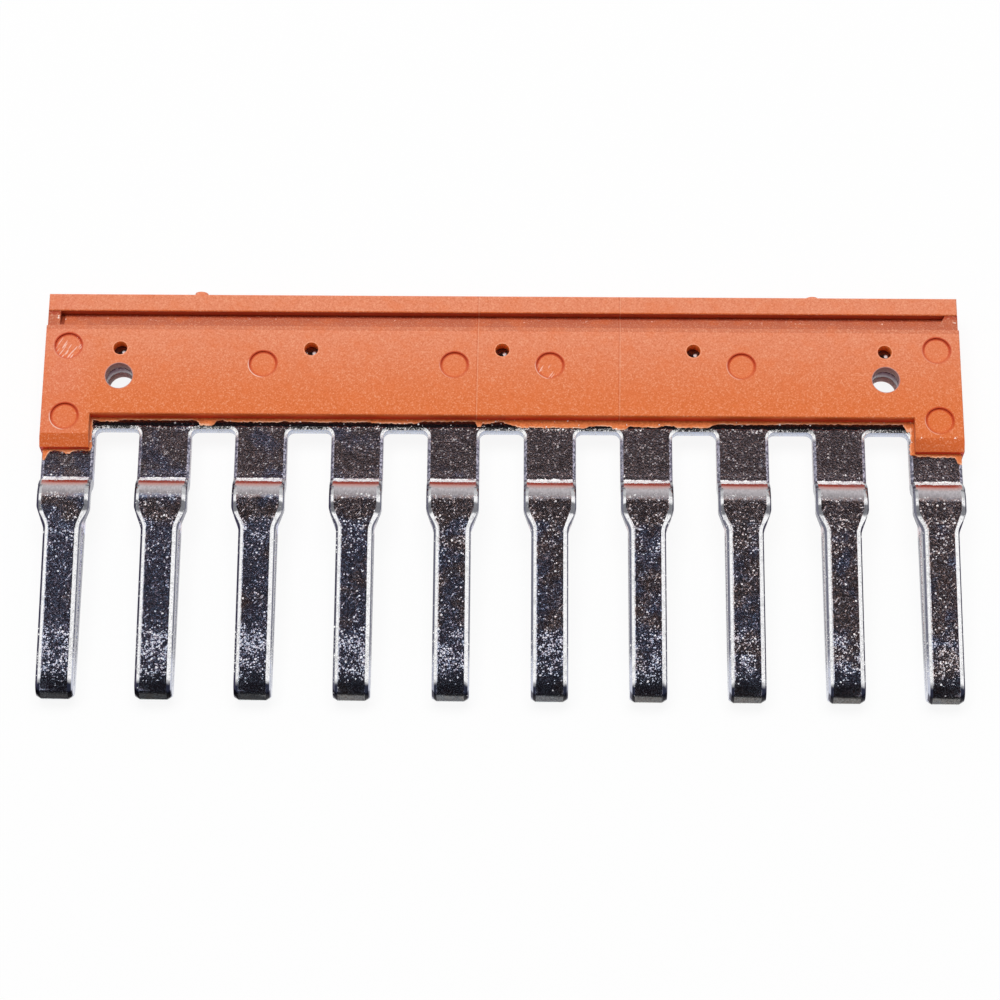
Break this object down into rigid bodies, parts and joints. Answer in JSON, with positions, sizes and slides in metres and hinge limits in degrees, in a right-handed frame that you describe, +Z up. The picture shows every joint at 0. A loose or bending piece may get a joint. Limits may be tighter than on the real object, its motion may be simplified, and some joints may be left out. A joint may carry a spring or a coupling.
{
  "type": "terminal block jumper bar",
  "caption": "Insulated comb jumper that plugs into neighbouring rail terminal blocks and bridges them: folded copper blades in a moulded bar.",
  "frame": {"origin": "under the middle of the bar, on the surface that it lies on", "axes": "+X along the bar, +Y from the blade tips to the housing's rim, +Z up through the thickness, front face up"},
  "size_m": [0.0584, 0.027, 0.0028],
  "materials": {
    "orange_polyamide": "satin as moulded, with a fine mottle",
    "tinned_copper": "bright tin plate with a fine grain"
  },
  "bodies": {
    "root": {"insulating_housing": "orange_polyamide", "contact_comb": "tinned_copper"}
  },
  "joints": []
}
